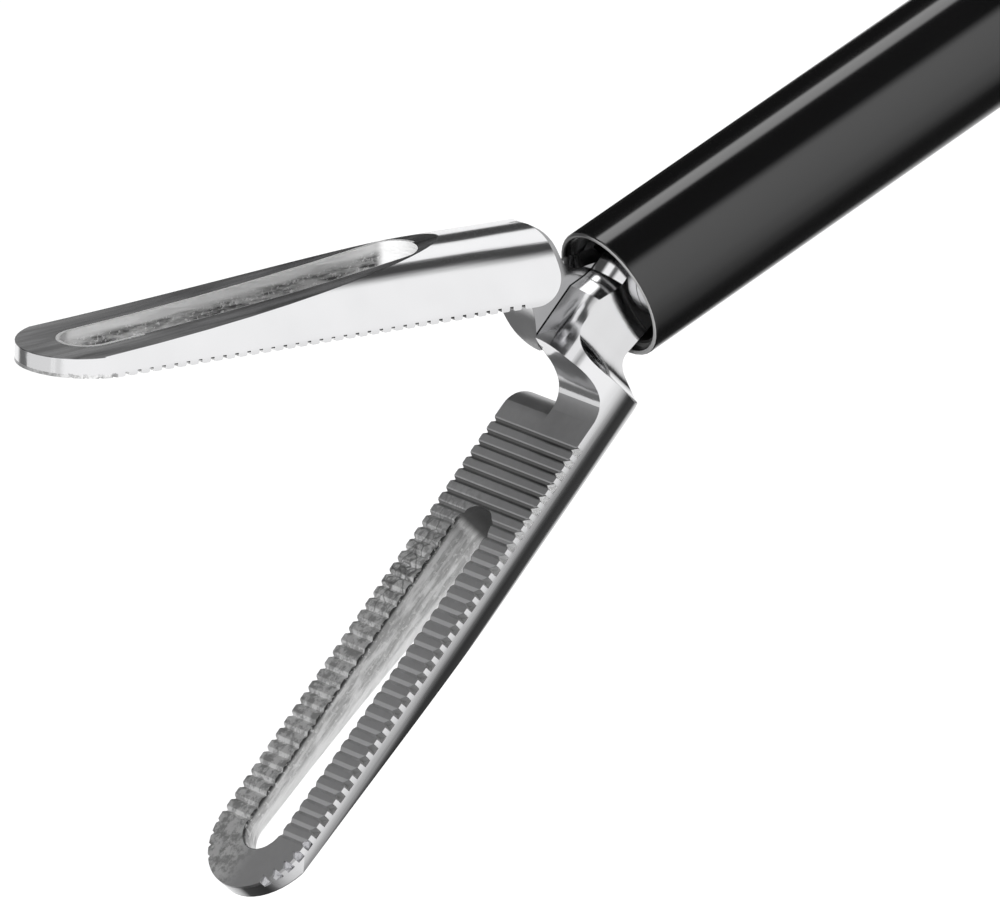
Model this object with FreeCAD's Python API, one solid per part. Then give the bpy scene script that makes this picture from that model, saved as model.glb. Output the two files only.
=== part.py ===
import FreeCAD, Part
import math
import os

V = FreeCAD.Vector

# Shaft, five millimetre instrument
SLEEVE_R = 2.5
SLEEVE_WALL = 0.2
TUBE_WALL = 0.18
WORK_LEN = 310.0
TUBE_RECESS = 0.4
RIM_ROUND = 0.09
SLEEVE_BORE = SLEEVE_R - SLEEVE_WALL
TUBE_BORE = SLEEVE_BORE - TUBE_WALL

# Jaw pivot and cam drive
OPEN_DEG = 24.0
PIVOT_X = -1.98
PIVOT_R = 0.6
HUB_R = 0.85
RUN_CLEAR = 0.02
PIN_R = 0.35
PIN_NEAR = 1.5
STROKE = 1.4
CAM_WALL = 0.24
CAM_HALF = PIN_R + RUN_CLEAR + 0.01

# Push rod and its blade
ROD_R = 0.8
ROD_CLEAR = 0.05
BLADE_HALF = 0.4
BLADE_NOSE = 0.58
BLADE_TAIL = -10.6
BLADE_NECK = 0.4
BALL_R = 1.8
NECK_R = 1.1
NECK_LEN = 5.0
LINER_BORE = ROD_R + ROD_CLEAR

# Jaw, in its own frame: pivot at the origin, outward is +Z, the arm on the -Y side
JAW_INSET = 0.08
JAW_R = SLEEVE_R - JAW_INSET
JAW_LEN = 26.65
TIP_CENTRE = JAW_LEN - JAW_R
BACK_START = (9.2, 2.45)
BACK_MID = (17.5, 1.38)
BACK_END = (27.6, 0.62)
SPARE = 0.2
ARM_IN = 0.02
ARM_OUT = 1.31
ARM_TOP_X = 1.0
ARM_FRONT = [(4.72, -JAW_R - SPARE), (4.75, -2.42), (4.85, -2.05), (4.95, -1.4), (5.12, -0.8),
             (5.35, -0.4), (5.75, -0.1), (6.2, 0.0)]
ARM_HEEL = [(6.7, JAW_R + SPARE), (6.0, 2.45), (5.35, 2.22), (4.72, 1.85), (4.28, 1.41), (4.0, 0.95),
            (3.7, 0.5), (3.4, 0.34), (3.0, 0.36), (2.4, 0.45), (1.2, 0.62), (0.0, HUB_R)]
SCOOP_X = 3.45
SCOOP_R = 1.1
NOSE_X = 5.6
NOSE_ROUND = 1.1
NOSE_SHOULDER = 0.6
NOSE_CORNER = 0.85
THROAT_CLEAR = 0.06
THROAT_CONE = 0.52
TANG_IN = BLADE_HALF + RUN_CLEAR
TANG_OUT = 0.9
SLOT_START = 10.46
SLOT_END = 25.1
SLOT_HALF = 0.975
TOOTH_FIRST = 7.33
TOOTH_PITCH = 0.51
GROOVE_HALF = 0.17
GROOVE_DEPTH = 0.09
ARM_NOTCH = (0.17, 0.34, 0.3)
FREE_NOTCH = (0.11, 0.14, 0.16)
TIP_NOTCHES = 4

# Clevis that holds the jaws in the tube
CLEVIS_R = TUBE_BORE - RUN_CLEAR
CLEVIS_REAR = -10.0
CLEVIS_SEAT = 2.0
CHANNEL_REAR = -7.2
EAR_IN = ARM_OUT + RUN_CLEAR
EAR_OUT = 1.8
EAR_NOSE = 1.6
RIVET = 0.1

# Nose cap, rotation knob and hub, each set back from the one before
NOSE_GAP = 0.05
NOSE_LEN = 20.95
NOSE_R = 9.0
NOSE_WAIST = 6.6
NOSE_NECK = 5.4
NOSE_TIP_R = 3.9
PORT_BACK = 12.95
PORT_R = 3.2
PORT_TOP = 13.0
LUER_MOUTH = 2.15
LUER_TAPER = 0.03
LUER_DEPTH = 7.5
CAP_WALL = 1.2
CAP_SKIRT = 4.5
CAP_TOP = 1.8
CAP_ROUND = 0.6
KNOB_LEN = 22.4
KNOB_R = 12.0
KNOB_ROUND = 2.0
FLUTES = 8
FLUTE_R = 3.4
FLUTE_CUT = 1.2
KNOB_GAP = 0.6
HUB_OUT = 5.0
HUB_BACK = 10.0
HUB_CHAMFER = 0.5
HUB_CLEAR = 0.05
FLANGE_R = 6.5
FLANGE_BACK = 4.5
FLANGE_THICK = 2.0
FLANGE_CLEAR = 0.3
TUBE_BACK = 4.0
SEAL_LEN = 3.5
SEAL_AHEAD = 2.0
NOSE_TIP = -WORK_LEN - NOSE_GAP
KNOB_FRONT = NOSE_TIP - NOSE_LEN
KNOB_REAR = KNOB_FRONT - KNOB_LEN
FRONT_X = KNOB_REAR - KNOB_GAP
PORT_X = NOSE_TIP - PORT_BACK
HUB_REAR = FRONT_X - HUB_BACK
FLANGE_FRONT = FRONT_X - FLANGE_BACK
FLANGE_REAR = FLANGE_FRONT - FLANGE_THICK
TUBE_END = FRONT_X - TUBE_BACK
LINER_REAR = FRONT_X + SEAL_AHEAD
SEAL_REAR = LINER_REAR - SEAL_LEN

# Handle shells, measured from the handle's front
SHELL_HALF = 9.5
SHELL_WALL = 2.4
SHELL_ROUND = 2.4
OUTLINE = [(5.0, -63.0), (2.8, -46.0), (1.8, -33.0), (1.6, -21.0), (-0.4, -11.0), (0.0, 0.0),
           (-1.8, 8.8), (-8.0, 13.8), (-20.0, 15.6), (-34.0, 14.4), (-44.0, 9.4), (-48.4, 1.5),
           (-46.8, -6.5), (-40.5, -12.2), (-30.0, -14.6), (-20.5, -18.0), (-14.4, -25.5),
           (-11.4, -36.0), (-8.4, -50.0), (-5.5, -63.0)]
SLIMMING = [(20.0, 0.0), (0.0, 0.0), (-14.0, 0.3), (-30.0, 1.5), (-46.0, 3.3), (-60.0, 4.4),
            (-70.0, 4.7)]
SHELL_OUTLINE = [(FRONT_X + x, z) for x, z in OUTLINE]
SHELL_TAPER = [(z, SHELL_HALF - slim) for z, slim in SLIMMING]
CAVITY_FLOOR = -30.0
RING_IN = 13.0
RING_BAR = 5.0
RING_HALF = 4.5
RING_ROUND = 2.4
RING_STRETCH = 5.0
LINER_THICK = 1.4
LINER_HALF = 2.9
LINER_ROUND = 0.6
FINGER_RING = (FRONT_X + 2.5, -82.0)

# Thumb lever
SWING_DEG = 15.0
AXLE_BACK = 27.0
AXLE_R = 1.5
AXLE_SKIN = 1.2
HEAD_HALF = 4.2
HEAD_R = 5.6
HEAD_TOP = 3.4
HEAD_SIDE = 4.6
SIDE_GAP = 0.7
BALL_GAP = 0.05
SOCKET_GAP = 0.4
NECK_CLEAR = 0.25
NECK_FLOOR = -2.0
BOSS_R = 4.2
BOSS_GAP = 0.3
STEM_ROUND = 1.6
AXLE_X = FRONT_X - AXLE_BACK
AXLE_Z = -STROKE / math.radians(SWING_DEG)
THUMB_RING = (AXLE_X - 37.0, -80.0)
STEM = [(-5.0, -7.35), (-9.5, -30.0, -23.5, -54.0), (-27.0, -60.0, -29.0, -66.0), (-20.0, -66.0),
        (-16.0, -55.0, -12.0, -48.0), (-1.0, -28.0, 4.4, -7.85)]
MOUTH = [(-18.0, -4.0), (-18.0, -20.0), (7.0, -20.0), (7.0, -9.0), (2.0, -4.0)]

# Contact block, electrode post and fixings
BLOCK_BACK = 14.0
BLOCK_LEN = 6.4
BLOCK_HALF = 4.0
BLOCK_Z = (-4.0, 9.0)
POST_R = 2.0
POST_STEM_R = 1.7
POST_FOOT = 4.0
POST_TOP = 33.0
POST_ROUND = 1.2
POST_EDGE = 0.35
POST_SHOW = 0.3
GLAND_R = 5.2
GLAND_TOP = 19.0
GLAND_BASE = 12.0
GLAND_SLEEVE = 1.4
GLAND_LIP = (1.0, 15.7, 15.9, 17.4)
GLAND_SLOPE = 0.8
BLOCK_X = (FRONT_X - BLOCK_BACK - BLOCK_LEN, FRONT_X - BLOCK_BACK)
POST_X = (BLOCK_X[0] + BLOCK_X[1]) / 2
SCREW_AT = [(FRONT_X + x, z) for x, z in [(-7.0, 9.4), (-42.0, 1.5), (-5.5, -31.0), (-3.0, -50.0)]]
SCREW_R = 1.0
SCREW_HEAD_R = 2.0
SCREW_HEAD = 1.8
SCREW_SINK = 0.4
SCREW_TIP = -4.2
SCREW_BOSS_R = 3.2
HEX_R = 0.9
HEX_DEPTH = 1.0

# Insert release button
BUTTON_X = FRONT_X - 33.0
BUTTON_R = 4.0
BUTTON_TOP = 17.0
BUTTON_LAND = (10.2, 11.4)
BUTTON_FLANGE = 0.9
BUTTON_WALL = 1.2
BUTTON_CLEAR = 0.08
BUTTON_ROOF = 2.5
BUTTON_ROUND = 1.0
BUTTON_DISH = 0.5
SPRING_WIRE = 0.3
SPRING_R = 1.9
SPRING_TURNS = 4
SPRING_SEAT = 5.6
SEAT_THICK = 1.0
SEAT_HALF = 5.3

# Reach of the cutters past what they cut
PAST = 1.0
WIDE = 20.0


def cyl_x(r, x0, x1, y=0.0, z=0.0):
    return Part.makeCylinder(r, x1 - x0, V(x0, y, z), V(1, 0, 0))


def cyl_y(r, y0, y1, x, z):
    return Part.makeCylinder(r, y1 - y0, V(x, y0, z), V(0, 1, 0))


def cyl_z(r, z0, z1, x, y):
    return Part.makeCylinder(r, z1 - z0, V(x, y, z0), V(0, 0, 1))


def block(x0, x1, y0, y1, z0, z1):
    return Part.makeBox(x1 - x0, y1 - y0, z1 - z0, V(x0, y0, z0))


def revolve_x(points):
    wire = Part.makePolygon([V(x, 0, r) for x, r in points + points[:1]])
    return Part.Face(wire).revolve(V(0, 0, 0), V(1, 0, 0), 360)


def revolve_z(points, x):
    wire = Part.makePolygon([V(x + r, 0, z) for r, z in points + points[:1]])
    return Part.Face(wire).revolve(V(x, 0, 0), V(0, 0, 1), 360)


def path_face(start, steps):
    edges = []
    here = V(start[0], 0, start[1])
    first = here
    for step in steps:
        there = V(step[-2], 0, step[-1])
        if len(step) == 4:
            edges.append(Part.Arc(here, V(step[0], 0, step[1]), there).toShape())
        else:
            edges.append(Part.makeLine(here, there))
        here = there
    if here.distanceToPoint(first) > 1e-6:
        edges.append(Part.makeLine(here, first))
    return Part.Face(Part.Wire(edges))


def slab(face, y0, y1):
    plate = face.copy()
    plate.translate(V(0, y0, 0))
    return plate.extrude(V(0, y1 - y0, 0))


def spline_edge(points):
    curve = Part.BSplineCurve()
    curve.interpolate([V(x, 0, z) for x, z in points])
    return curve.toShape()


def stadium_face(x, z, r, stretch):
    top = z + stretch
    low = z - stretch
    return path_face((x - r, low), [(x - r, top), (x, top + r, x + r, top),
                                    (x + r, low), (x, low - r, x - r, low)])


# Jaws

def cam_point(deg):
    r = PIN_NEAR + STROKE * (1.0 - deg / OPEN_DEG)
    a = math.radians(deg)
    return V(-r * math.cos(a), 0, r * math.sin(a))


def cam_track(half, y0, y1):
    near = cam_point(OPEN_DEG)
    mid = cam_point(OPEN_DEG / 2)
    far = cam_point(0)
    centre = Part.Arc(near, mid, far).toShape().Curve.Center
    arcs = []
    for grow in (half, -half):
        pts = [p + (p - centre).normalize() * grow for p in (near, mid, far)]
        arcs.append(pts)
    outer, inner = arcs
    wire = Part.Wire([Part.Arc(*outer).toShape(), Part.makeLine(outer[2], inner[2]),
                      Part.Arc(inner[2], inner[1], inner[0]).toShape(),
                      Part.makeLine(inner[0], outer[0])])
    track = slab(Part.Face(wire), y0, y1)
    for end in (near, far):
        track = track.fuse(cyl_y(half, y0, y1, end.x, end.z))
    return track


def arm_half():
    front = spline_edge(ARM_FRONT)
    heel = spline_edge(ARM_HEEL)
    far = JAW_LEN + PAST
    corners = [V(ARM_FRONT[-1][0], 0, ARM_FRONT[-1][1]), V(far, 0, 0), V(far, 0, JAW_R + SPARE),
               V(ARM_HEEL[0][0], 0, ARM_HEEL[0][1])]
    root = [V(0, 0, HUB_R), V(0, 0, -HUB_R), V(ARM_TOP_X, 0, -JAW_R - SPARE),
            V(ARM_FRONT[0][0], 0, -JAW_R - SPARE)]
    lines = list(zip(corners, corners[1:])) + list(zip(root, root[1:]))
    wire = Part.Wire(Part.sortEdges([front, heel] + [Part.makeLine(p, q) for p, q in lines])[0])
    return slab(Part.Face(wire), -JAW_R - SPARE, -ARM_IN)


def free_half():
    far = JAW_LEN + PAST
    top = JAW_R + SPARE
    turn = 1.0 - math.sqrt(0.5)
    low = NOSE_ROUND * turn
    high = NOSE_SHOULDER * turn
    face = path_face((NOSE_X + NOSE_ROUND, 0),
                     [(far, 0), (far, top), (NOSE_X + NOSE_SHOULDER, top),
                      (NOSE_X + high, top - high, NOSE_X, top - NOSE_SHOULDER),
                      (NOSE_X, NOSE_ROUND),
                      (NOSE_X + low, low, NOSE_X + NOSE_ROUND, 0)])
    half = slab(face, -ARM_IN, JAW_R + SPARE)
    inner = NOSE_CORNER - ARM_IN
    corner = block(NOSE_X - PAST, NOSE_X + NOSE_CORNER, -PAST, inner, -PAST, top + PAST)
    return half.cut(corner.cut(cyl_z(NOSE_CORNER, -PAST, top + PAST, NOSE_X + NOSE_CORNER, inner)))


def throat_limit():
    mouth = -PIVOT_X
    tube_end = mouth - TUBE_RECESS
    points = [(-JAW_LEN, 0), (-JAW_LEN, TUBE_BORE - THROAT_CLEAR),
              (tube_end - THROAT_CLEAR, TUBE_BORE - THROAT_CLEAR),
              (mouth - THROAT_CLEAR, SLEEVE_BORE - 2 * THROAT_CLEAR),
              (mouth + THROAT_CONE, JAW_R), (JAW_LEN + PAST, JAW_R), (JAW_LEN + PAST, 0)]
    return revolve_x(points)


def jaw_blank():
    blank = arm_half().fuse(free_half())
    plan = block(-PAST, TIP_CENTRE, -JAW_R, JAW_R, -JAW_LEN, JAW_LEN)
    plan = plan.fuse(cyl_z(JAW_R, -JAW_LEN, JAW_LEN, TIP_CENTRE, 0))
    blank = blank.common(throat_limit()).common(plan)
    side_cut = block(-PAST, SCOOP_X, -JAW_LEN, -ARM_OUT, -JAW_LEN, JAW_LEN)
    side_cut = side_cut.fuse(cyl_z(SCOOP_R, -JAW_LEN, JAW_LEN, SCOOP_X, -ARM_OUT - SCOOP_R))
    blank = blank.cut(side_cut)
    high = JAW_R + PAST
    ground = path_face(BACK_START, [BACK_MID + BACK_END, (BACK_END[0], high), (BACK_START[0], high)])
    return blank.cut(slab(ground, -JAW_R - PAST, JAW_R + PAST))


def fenestration():
    middle = (SLOT_START + SLOT_END) / 2
    stretch = (SLOT_END - SLOT_START) / 2 - SLOT_HALF
    left = middle - stretch
    right = middle + stretch
    high = JAW_R + PAST
    solid = block(left, right, -SLOT_HALF, SLOT_HALF, -PAST, high)
    for x in (left, right):
        solid = solid.fuse(cyl_z(SLOT_HALF, -PAST, high, x, 0))
    return solid.removeSplitter()


def plan_notch(size, x, y, turn):
    half, depth, height = size
    wire = Part.makePolygon([V(-half, 0, 0), V(half, 0, 0), V(0, -depth, 0), V(-half, 0, 0)])
    notch = Part.Face(wire).extrude(V(0, 0, height + SPARE))
    notch.translate(V(0, 0, -SPARE))
    notch.rotate(V(0, 0, 0), V(0, 0, 1), turn)
    notch.translate(V(x, y, 0))
    return notch


def teeth_cutter():
    tools = []
    out = JAW_R + RUN_CLEAR
    count = int((TIP_CENTRE - TOOTH_FIRST) / TOOTH_PITCH) + 1
    for i in range(count):
        x = TOOTH_FIRST + i * TOOTH_PITCH
        groove = path_face((x - GROOVE_HALF, -RUN_CLEAR), [(x, GROOVE_DEPTH),
                                                           (x + GROOVE_HALF, -RUN_CLEAR)])
        tools.append(slab(groove, -JAW_R - PAST, JAW_R + PAST))
        tools.append(plan_notch(FREE_NOTCH, x, out, 0))
        tools.append(plan_notch(ARM_NOTCH, x, -out, 180))
    step = math.degrees(TOOTH_PITCH / JAW_R)
    start = TOOTH_FIRST + count * TOOTH_PITCH - TIP_CENTRE
    for i in range(TIP_NOTCHES):
        turn = math.degrees(start / JAW_R) + i * step
        x = TIP_CENTRE + out * math.sin(math.radians(turn))
        y = out * math.cos(math.radians(turn))
        tools.append(plan_notch(FREE_NOTCH, x, y, -turn))
        tools.append(plan_notch(ARM_NOTCH, x, -y, 180 + turn))
    return tools


def jaw():
    hub = cyl_y(HUB_R, -ARM_OUT, -ARM_IN, 0, 0)
    cam_out = CAM_HALF + CAM_WALL
    solid = jaw_blank().fuse(hub).fuse(cam_track(cam_out, -TANG_OUT, -TANG_IN))
    web = block(-PIN_NEAR, 0, -TANG_OUT, -TANG_IN, -cam_out, cam_out)
    web.rotate(V(0, 0, 0), V(0, 1, 0), OPEN_DEG)
    solid = solid.fuse(web)
    solid = solid.cut(cyl_y(PIVOT_R + RUN_CLEAR, -JAW_R - PAST, JAW_R + PAST, 0, 0))
    solid = solid.cut(cam_track(CAM_HALF, -JAW_R, 0))
    solid = solid.cut(fenestration())
    return solid.cut(teeth_cutter()).removeSplitter()


def upper_jaw():
    solid = jaw()
    solid.rotate(V(0, 0, 0), V(0, 1, 0), -OPEN_DEG)
    solid.translate(V(PIVOT_X, 0, 0))
    return solid


def half_turn(shape):
    turned = shape.copy()
    turned.rotate(V(0, 0, 0), V(1, 0, 0), 180)
    return turned


# Clevis and pins

def clevis():
    body = cyl_x(CLEVIS_R, CLEVIS_REAR, 0)
    body = body.fuse(cyl_x(TUBE_BORE, CLEVIS_REAR, CLEVIS_REAR + CLEVIS_SEAT))
    ears = cyl_y(EAR_NOSE, -EAR_OUT, EAR_OUT, PIVOT_X, 0)
    ears = ears.fuse(block(CHANNEL_REAR, PIVOT_X, -EAR_OUT, EAR_OUT, -CLEVIS_R, CLEVIS_R))
    body = body.common(ears.fuse(cyl_x(TUBE_BORE, CLEVIS_REAR, CHANNEL_REAR)))
    body = body.cut(block(CHANNEL_REAR, 0, -EAR_IN, EAR_IN, -CLEVIS_R, CLEVIS_R))
    body = body.cut(cyl_x(LINER_BORE, CLEVIS_REAR - PAST, 0))
    body = body.cut(cyl_y(PIVOT_R, -TUBE_BORE, TUBE_BORE, PIVOT_X, 0))
    front = PIVOT_X - PIN_NEAR + RUN_CLEAR
    rear = PIVOT_X - PIN_NEAR - STROKE - RUN_CLEAR
    guide = block(rear, front, -TUBE_BORE, TUBE_BORE, -CAM_HALF, CAM_HALF)
    for x in (rear, front):
        guide = guide.fuse(cyl_y(CAM_HALF, -TUBE_BORE, TUBE_BORE, x, 0))
    return body.cut(guide).removeSplitter()


def pivot_pin():
    return cyl_y(PIVOT_R, -EAR_OUT - RIVET, EAR_OUT + RIVET, PIVOT_X, 0)


def drive_pin():
    return cyl_y(PIN_R, -EAR_OUT, EAR_OUT, PIVOT_X - PIN_NEAR, 0)


# Push rod

def rod_blade():
    x = PIVOT_X - PIN_NEAR
    neck = CHANNEL_REAR + STROKE + BLADE_NECK
    blade = cyl_y(BLADE_NOSE, -BLADE_HALF, BLADE_HALF, x, 0)
    blade = blade.fuse(block(neck, x, -BLADE_HALF, BLADE_HALF, -BLADE_NOSE, BLADE_NOSE))
    blade = blade.fuse(cyl_x(ROD_R, BLADE_TAIL, neck + BLADE_NECK / 2))
    return blade.cut(cyl_y(PIN_R, -PAST, PAST, x, 0)).removeSplitter()


def push_rod():
    return cyl_x(ROD_R, AXLE_X + STROKE / 2, BLADE_TAIL)


def rod_ball():
    x = AXLE_X + STROKE / 2
    ball = Part.makeSphere(BALL_R, V(x, 0, 0))
    ball = ball.fuse(cyl_x(NECK_R, x, x + NECK_LEN))
    return ball.cut(cyl_x(ROD_R, x, x + NECK_LEN + PAST)).removeSplitter()


# Tubes

def tube(r_out, r_in, x0, x1):
    return revolve_x([(x0, r_in), (x0, r_out), (x1, r_out), (x1, r_in)])


def steel_tube():
    return tube(SLEEVE_BORE, TUBE_BORE, TUBE_END, -TUBE_RECESS)


def insulation_sleeve():
    sleeve = tube(SLEEVE_R, SLEEVE_BORE, -WORK_LEN, 0)
    return sleeve.makeFillet(RIM_ROUND, [e for e in sleeve.Edges if e.BoundBox.XMin > -RIM_ROUND])


def rod_liner():
    return tube(TUBE_BORE, LINER_BORE, LINER_REAR, CLEVIS_REAR)


# Rotation knob group

def bearing_hub():
    points = [(HUB_REAR, SLEEVE_BORE), (HUB_REAR, HUB_OUT - HUB_CHAMFER),
              (HUB_REAR + HUB_CHAMFER, HUB_OUT), (FLANGE_REAR, HUB_OUT), (FLANGE_REAR, FLANGE_R),
              (FLANGE_FRONT, FLANGE_R), (FLANGE_FRONT, HUB_OUT), (KNOB_FRONT, HUB_OUT),
              (KNOB_FRONT, SLEEVE_BORE)]
    return revolve_x(points)


def rotation_knob():
    r = KNOB_ROUND
    points = [(KNOB_REAR, HUB_OUT), (KNOB_REAR, KNOB_R - 2 * r),
              (KNOB_REAR + 0.6 * r, KNOB_R - 0.4 * r), (KNOB_REAR + 2 * r, KNOB_R),
              (KNOB_FRONT - 3 * r, KNOB_R - 0.15 * r), (KNOB_FRONT - r, KNOB_R - r),
              (KNOB_FRONT, NOSE_R), (KNOB_FRONT, HUB_OUT)]
    knob = revolve_x(points)
    start = KNOB_REAR + 3 * r
    centre = KNOB_R + FLUTE_R - FLUTE_CUT
    for i in range(FLUTES):
        a = 2 * math.pi * (i + 0.5) / FLUTES
        y = centre * math.cos(a)
        z = centre * math.sin(a)
        knob = knob.cut(cyl_x(FLUTE_R, start, KNOB_FRONT + PAST, y, z))
        knob = knob.cut(Part.makeSphere(FLUTE_R, V(start, y, z)))
    return knob


def nose_cap():
    hold = SLEEVE_BORE
    points = [(KNOB_FRONT, hold), (KNOB_FRONT, NOSE_R - 0.4), (KNOB_FRONT + 3, NOSE_R - 1.2),
              (KNOB_FRONT + 6, NOSE_WAIST), (NOSE_TIP - 5, NOSE_NECK), (NOSE_TIP - 1, NOSE_TIP_R),
              (NOSE_TIP, NOSE_TIP_R - 0.8), (NOSE_TIP, hold)]
    cap = revolve_x(points)
    cap = cap.fuse(cyl_z(PORT_R, SLEEVE_R, PORT_TOP, PORT_X, 0))
    mouth = Part.makeCone(LUER_MOUTH - LUER_TAPER * LUER_DEPTH, LUER_MOUTH, LUER_DEPTH,
                          V(PORT_X, 0, PORT_TOP - LUER_DEPTH), V(0, 0, 1))
    cap = cap.cut(mouth).cut(cyl_x(hold, KNOB_FRONT - PAST, NOSE_TIP + PAST))
    return cap.removeSplitter()


def port_cap():
    out = PORT_R + CAP_WALL
    roof = PORT_TOP + CAP_TOP
    points = [(PORT_R, PORT_TOP - CAP_SKIRT), (out, PORT_TOP - CAP_SKIRT), (out, roof - CAP_ROUND),
              (out - CAP_ROUND, roof), (0, roof), (0, PORT_TOP), (PORT_R, PORT_TOP)]
    return revolve_z(points, PORT_X)


def rod_seal():
    return tube(TUBE_BORE, LINER_BORE, SEAL_REAR, LINER_REAR)


# Handle shells

def shell_face():
    outline = spline_edge(SHELL_OUTLINE)
    first = SHELL_OUTLINE[0]
    last = SHELL_OUTLINE[-1]
    foot = Part.makeLine(V(last[0], 0, last[1]), V(first[0], 0, first[1]))
    return Part.Face(Part.Wire([outline, foot]))


def inner_face():
    curve = spline_edge(SHELL_OUTLINE).Curve
    inner = []
    for x, z in SHELL_OUTLINE:
        t = curve.tangent(curve.parameter(V(x, 0, z)))[0]
        inner.append((x - t.z * SHELL_WALL, z + t.x * SHELL_WALL))
    outline = spline_edge(inner)
    foot = Part.makeLine(V(inner[-1][0], 0, inner[-1][1]), V(inner[0][0], 0, inner[0][1]))
    return Part.Face(Part.Wire([outline, foot]))


def taper_prism(side):
    curve = Part.BSplineCurve()
    rear = min(x for x, z in SHELL_OUTLINE) - WIDE
    curve.interpolate([V(rear, side * y, z) for z, y in SHELL_TAPER])
    top, low = SHELL_TAPER[0], SHELL_TAPER[-1]
    corners = [V(rear, side * low[1], low[0]), V(rear, 0, low[0]), V(rear, 0, top[0]),
               V(rear, side * top[1], top[0])]
    sides = [Part.makeLine(p, q) for p, q in zip(corners, corners[1:])]
    return Part.Face(Part.Wire([curve.toShape()] + sides)).extrude(V(FRONT_X + WIDE - rear, 0, 0))


def outer_edges(solid):
    return [e for e in solid.Edges if min(abs(e.BoundBox.YMin), abs(e.BoundBox.YMax)) > 4
            and e.BoundBox.ZMax - e.BoundBox.ZMin > 5]


def ring_half(centre, side):
    face = stadium_face(centre[0], centre[1], RING_IN + RING_BAR, RING_STRETCH)
    hole = stadium_face(centre[0], centre[1], RING_IN, RING_STRETCH)
    ring = slab(face.cut(hole).Faces[0], -RING_HALF, RING_HALF)
    ring = ring.makeFillet(RING_ROUND, [e for e in ring.Edges if abs(e.BoundBox.YMin) > RING_HALF - 0.1
                                        and e.BoundBox.YMax - e.BoundBox.YMin < 0.1])
    if side:
        reach = RING_IN + RING_BAR + WIDE
        y0, y1 = (0, WIDE) if side > 0 else (-WIDE, 0)
        ring = ring.common(block(centre[0] - reach, centre[0] + reach, y0, y1,
                                 centre[1] - reach, centre[1] + reach))
    return ring


def handle_shell(side):
    y1 = side * SHELL_HALF
    shell = slab(shell_face(), min(0, y1), max(0, y1)).common(taper_prism(side))
    shell = shell.makeFillet(SHELL_ROUND, outer_edges(shell))
    cavity = slab(inner_face(), SHELL_WALL - SHELL_HALF, SHELL_HALF - SHELL_WALL)
    rib_in = SHELL_HALF - SHELL_WALL
    cavity = cavity.common(block(FRONT_X - 3 * WIDE, FRONT_X + WIDE, -WIDE, WIDE, CAVITY_FLOOR, WIDE))
    keep = block(BLOCK_X[1], FRONT_X + WIDE, -WIDE, WIDE, -WIDE, WIDE)
    for x, z in SCREW_AT[2:]:
        keep = keep.fuse(cyl_y(SCREW_BOSS_R, -WIDE, WIDE, x, z))
    bosses = [cyl_y(SCREW_BOSS_R, 0, rib_in, SCREW_AT[0][0], SCREW_AT[0][1]),
              cyl_y(SCREW_BOSS_R, 0, rib_in, SCREW_AT[1][0], SCREW_AT[1][1]),
              cyl_y(BOSS_R, HEAD_HALF + BOSS_GAP, rib_in, AXLE_X, AXLE_Z),
              block(BLOCK_X[0], BLOCK_X[1], BLOCK_HALF, rib_in, BLOCK_Z[0], BLOCK_Z[1]),
              block(BUTTON_X - SEAT_HALF, BUTTON_X + SEAT_HALF, 0, rib_in, SPRING_SEAT - SEAT_THICK,
                    SPRING_SEAT)]
    shell = shell.cut(cavity.cut(keep))
    for boss in bosses:
        if side < 0:
            boss = boss.mirror(V(0, 0, 0), V(0, 1, 0))
        shell = shell.fuse(boss.common(slab(shell_face(), PAST - SHELL_HALF, SHELL_HALF - PAST)))
    shell = shell.fuse(ring_half(FINGER_RING, side))
    shell = shell.cut(cyl_x(HUB_OUT + HUB_CLEAR, HUB_REAR - FLANGE_CLEAR, FRONT_X + WIDE))
    shell = shell.cut(cyl_x(FLANGE_R + FLANGE_CLEAR, FLANGE_REAR - HUB_CLEAR,
                            FLANGE_FRONT + HUB_CLEAR))
    shell = shell.cut(cyl_x(SLEEVE_BORE, HUB_REAR - HUB_BACK, HUB_REAR))
    shell = shell.cut(stadium_slab(FINGER_RING))
    mouth = [(AXLE_X + x, z) for x, z in MOUTH]
    gap = HEAD_HALF + SIDE_GAP
    shell = shell.cut(slab(path_face(mouth[0], mouth[1:]), -gap, gap))
    shell = shell.cut(lever_axle())
    shell = shell.cut(cyl_z(GLAND_R, GLAND_BASE, GLAND_BASE + WIDE, POST_X, 0))
    shell = shell.cut(cyl_z(BUTTON_R + BUTTON_CLEAR, SPRING_SEAT, BUTTON_TOP + PAST, BUTTON_X, 0))
    shell = shell.cut(cyl_z(BUTTON_R + BUTTON_FLANGE + 2 * BUTTON_CLEAR, SPRING_SEAT,
                            BUTTON_LAND[1] + BUTTON_CLEAR, BUTTON_X, 0))
    return shell.cut(screw_space())


def stadium_slab(centre):
    face = stadium_face(centre[0], centre[1], RING_IN, RING_STRETCH)
    return slab(face, -LINER_HALF, LINER_HALF)


def ring_liner(centre):
    outer = stadium_face(centre[0], centre[1], RING_IN, RING_STRETCH)
    inner = stadium_face(centre[0], centre[1], RING_IN - LINER_THICK, RING_STRETCH)
    liner = slab(outer.cut(inner).Faces[0], -LINER_HALF, LINER_HALF)
    edges = [e for e in liner.Edges if abs(e.BoundBox.YMin) > LINER_HALF - 0.1
             and e.BoundBox.YMax - e.BoundBox.YMin < 0.1
             and e.BoundBox.XMax < centre[0] + RING_IN - LINER_THICK / 2
             and e.BoundBox.XMin > centre[0] - RING_IN + LINER_THICK / 2]
    return liner.makeFillet(LINER_ROUND, edges)


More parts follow.
